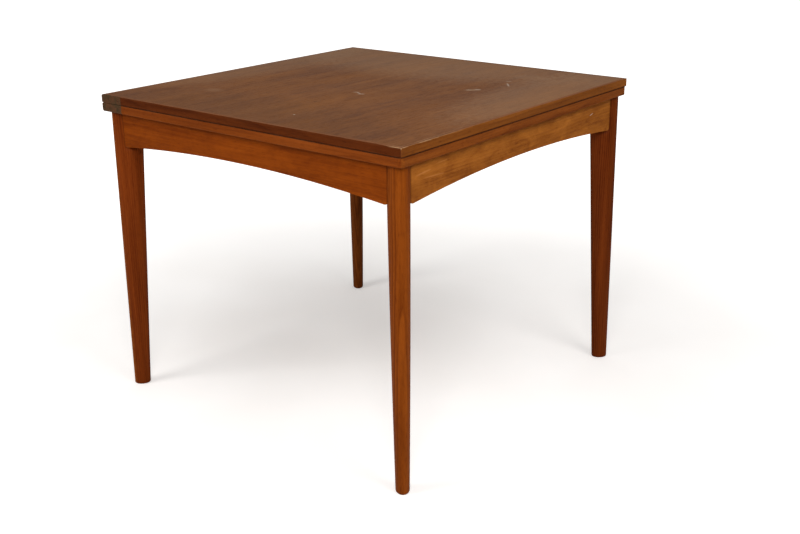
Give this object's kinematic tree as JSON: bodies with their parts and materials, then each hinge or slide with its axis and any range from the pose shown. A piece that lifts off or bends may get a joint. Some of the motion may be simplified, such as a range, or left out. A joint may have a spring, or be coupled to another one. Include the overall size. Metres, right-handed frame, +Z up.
{
  "type": "fold-over dining table",
  "caption": "Square wooden dining table with an arched frame, oval tapered legs and a hinged fold-over top that slides aside and opens to double length.",
  "frame": {"origin": "on the floor, under the middle of the closed top", "axes": "+Z up; the hinge line runs parallel to Y at the -X edge; the top slides along +X to open"},
  "size_m": [0.88, 0.88, 0.735],
  "materials": {
    "teak_top": "oiled teak veneer, worn, with hazy sheen",
    "teak_solid": "oiled solid teak, satin",
    "blockboard": "raw softwood blockboard",
    "beech": "raw beech, waxed where it slides",
    "old_brass": "dark patinated brass",
    "zinc_steel": "dull zinc-plated steel",
    "felt": "pressed wool felt"
  },
  "bodies": {
    "frame": {"apron_back": "teak_solid", "apron_dowels": "beech", "apron_front": "teak_solid", "apron_left": "teak_solid", "apron_right": "teak_solid", "corner_block_back_left": "beech", "corner_block_back_right": "beech", "corner_block_front_left": "beech", "corner_block_front_right": "beech", "corner_block_screws": "zinc_steel", "leg_back_left": "teak_solid", "leg_back_right": "teak_solid", "leg_bolts": "zinc_steel", "leg_front_left": "teak_solid", "leg_front_right": "teak_solid", "slide_felts": "felt", "slide_rail_back": "beech", "slide_rail_front": "beech", "slide_stops": "beech"},
    "lower_leaf": {"batten_screws": "zinc_steel", "lower_leaf_core": "blockboard", "lower_leaf_hinge_pins": "old_brass", "lower_leaf_hinge_plate_back": "old_brass", "lower_leaf_hinge_plate_front": "old_brass", "lower_leaf_hinge_screws": "old_brass", "lower_leaf_lipping_back": "teak_solid", "lower_leaf_lipping_front": "teak_solid", "lower_leaf_lipping_left": "teak_solid", "lower_leaf_lipping_right": "teak_solid", "lower_leaf_top_veneer": "teak_top", "lower_leaf_underside_veneer": "teak_top", "slide_batten_left": "beech", "slide_batten_middle": "beech"},
    "hinge_links": {"hinge_link_back": "old_brass", "hinge_link_front": "old_brass"},
    "upper_leaf": {"upper_leaf_core": "blockboard", "upper_leaf_hinge_pins": "old_brass", "upper_leaf_hinge_plate_back": "old_brass", "upper_leaf_hinge_plate_front": "old_brass", "upper_leaf_hinge_screws": "old_brass", "upper_leaf_lipping_back": "teak_solid", "upper_leaf_lipping_front": "teak_solid", "upper_leaf_lipping_left": "teak_solid", "upper_leaf_lipping_right": "teak_solid", "upper_leaf_top_veneer": "teak_top", "upper_leaf_underside_veneer": "teak_top"}
  },
  "joints": [
    {"name": "top_slide", "type": "slide", "parent": "frame", "child": "lower_leaf", "axis": [1, 0, 0], "range_m": [0, 0.44]},
    {"name": "leaf_fold", "type": "hinge", "parent": "lower_leaf", "child": "upper_leaf", "pos_m": [-0.4404, 0, 0.7156], "axis": [0, -1, 0], "range_deg": [0, 180]},
    {"name": "link_swing", "type": "hinge", "parent": "lower_leaf", "child": "hinge_links", "pos_m": [-0.4365, 0, 0.7117], "axis": [0, -1, 0], "range_deg": [0, 90]}
  ],
  "couplings": [
    {"joint": "link_swing", "follows": "leaf_fold", "ratio": 0.5}
  ]
}
